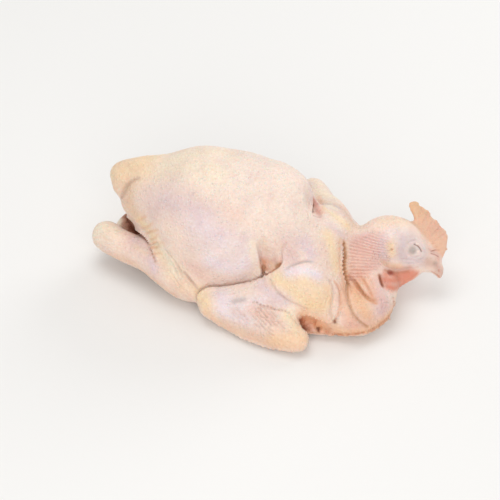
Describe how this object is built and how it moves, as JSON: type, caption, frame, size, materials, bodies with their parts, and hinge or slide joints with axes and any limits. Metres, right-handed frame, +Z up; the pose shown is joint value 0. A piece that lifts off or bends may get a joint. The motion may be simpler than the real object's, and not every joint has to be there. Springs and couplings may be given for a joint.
{
  "type": "whole raw chicken",
  "caption": "Plucked whole raw chicken with its head on, lying on its breast, legs folded back and neck doubled round to the side.",
  "frame": {"origin": "on the surface that the bird lies on, under the middle of its bounding box", "axes": "+X from the tail towards the head, +Y to the bird's left, +Z up"},
  "size_m": [0.2968, 0.1854, 0.1159],
  "materials": {
    "skin": "moist raw poultry skin, cream with yellow fat and pink patches"
  },
  "bodies": {
    "root": {"chicken": "skin"}
  },
  "joints": []
}
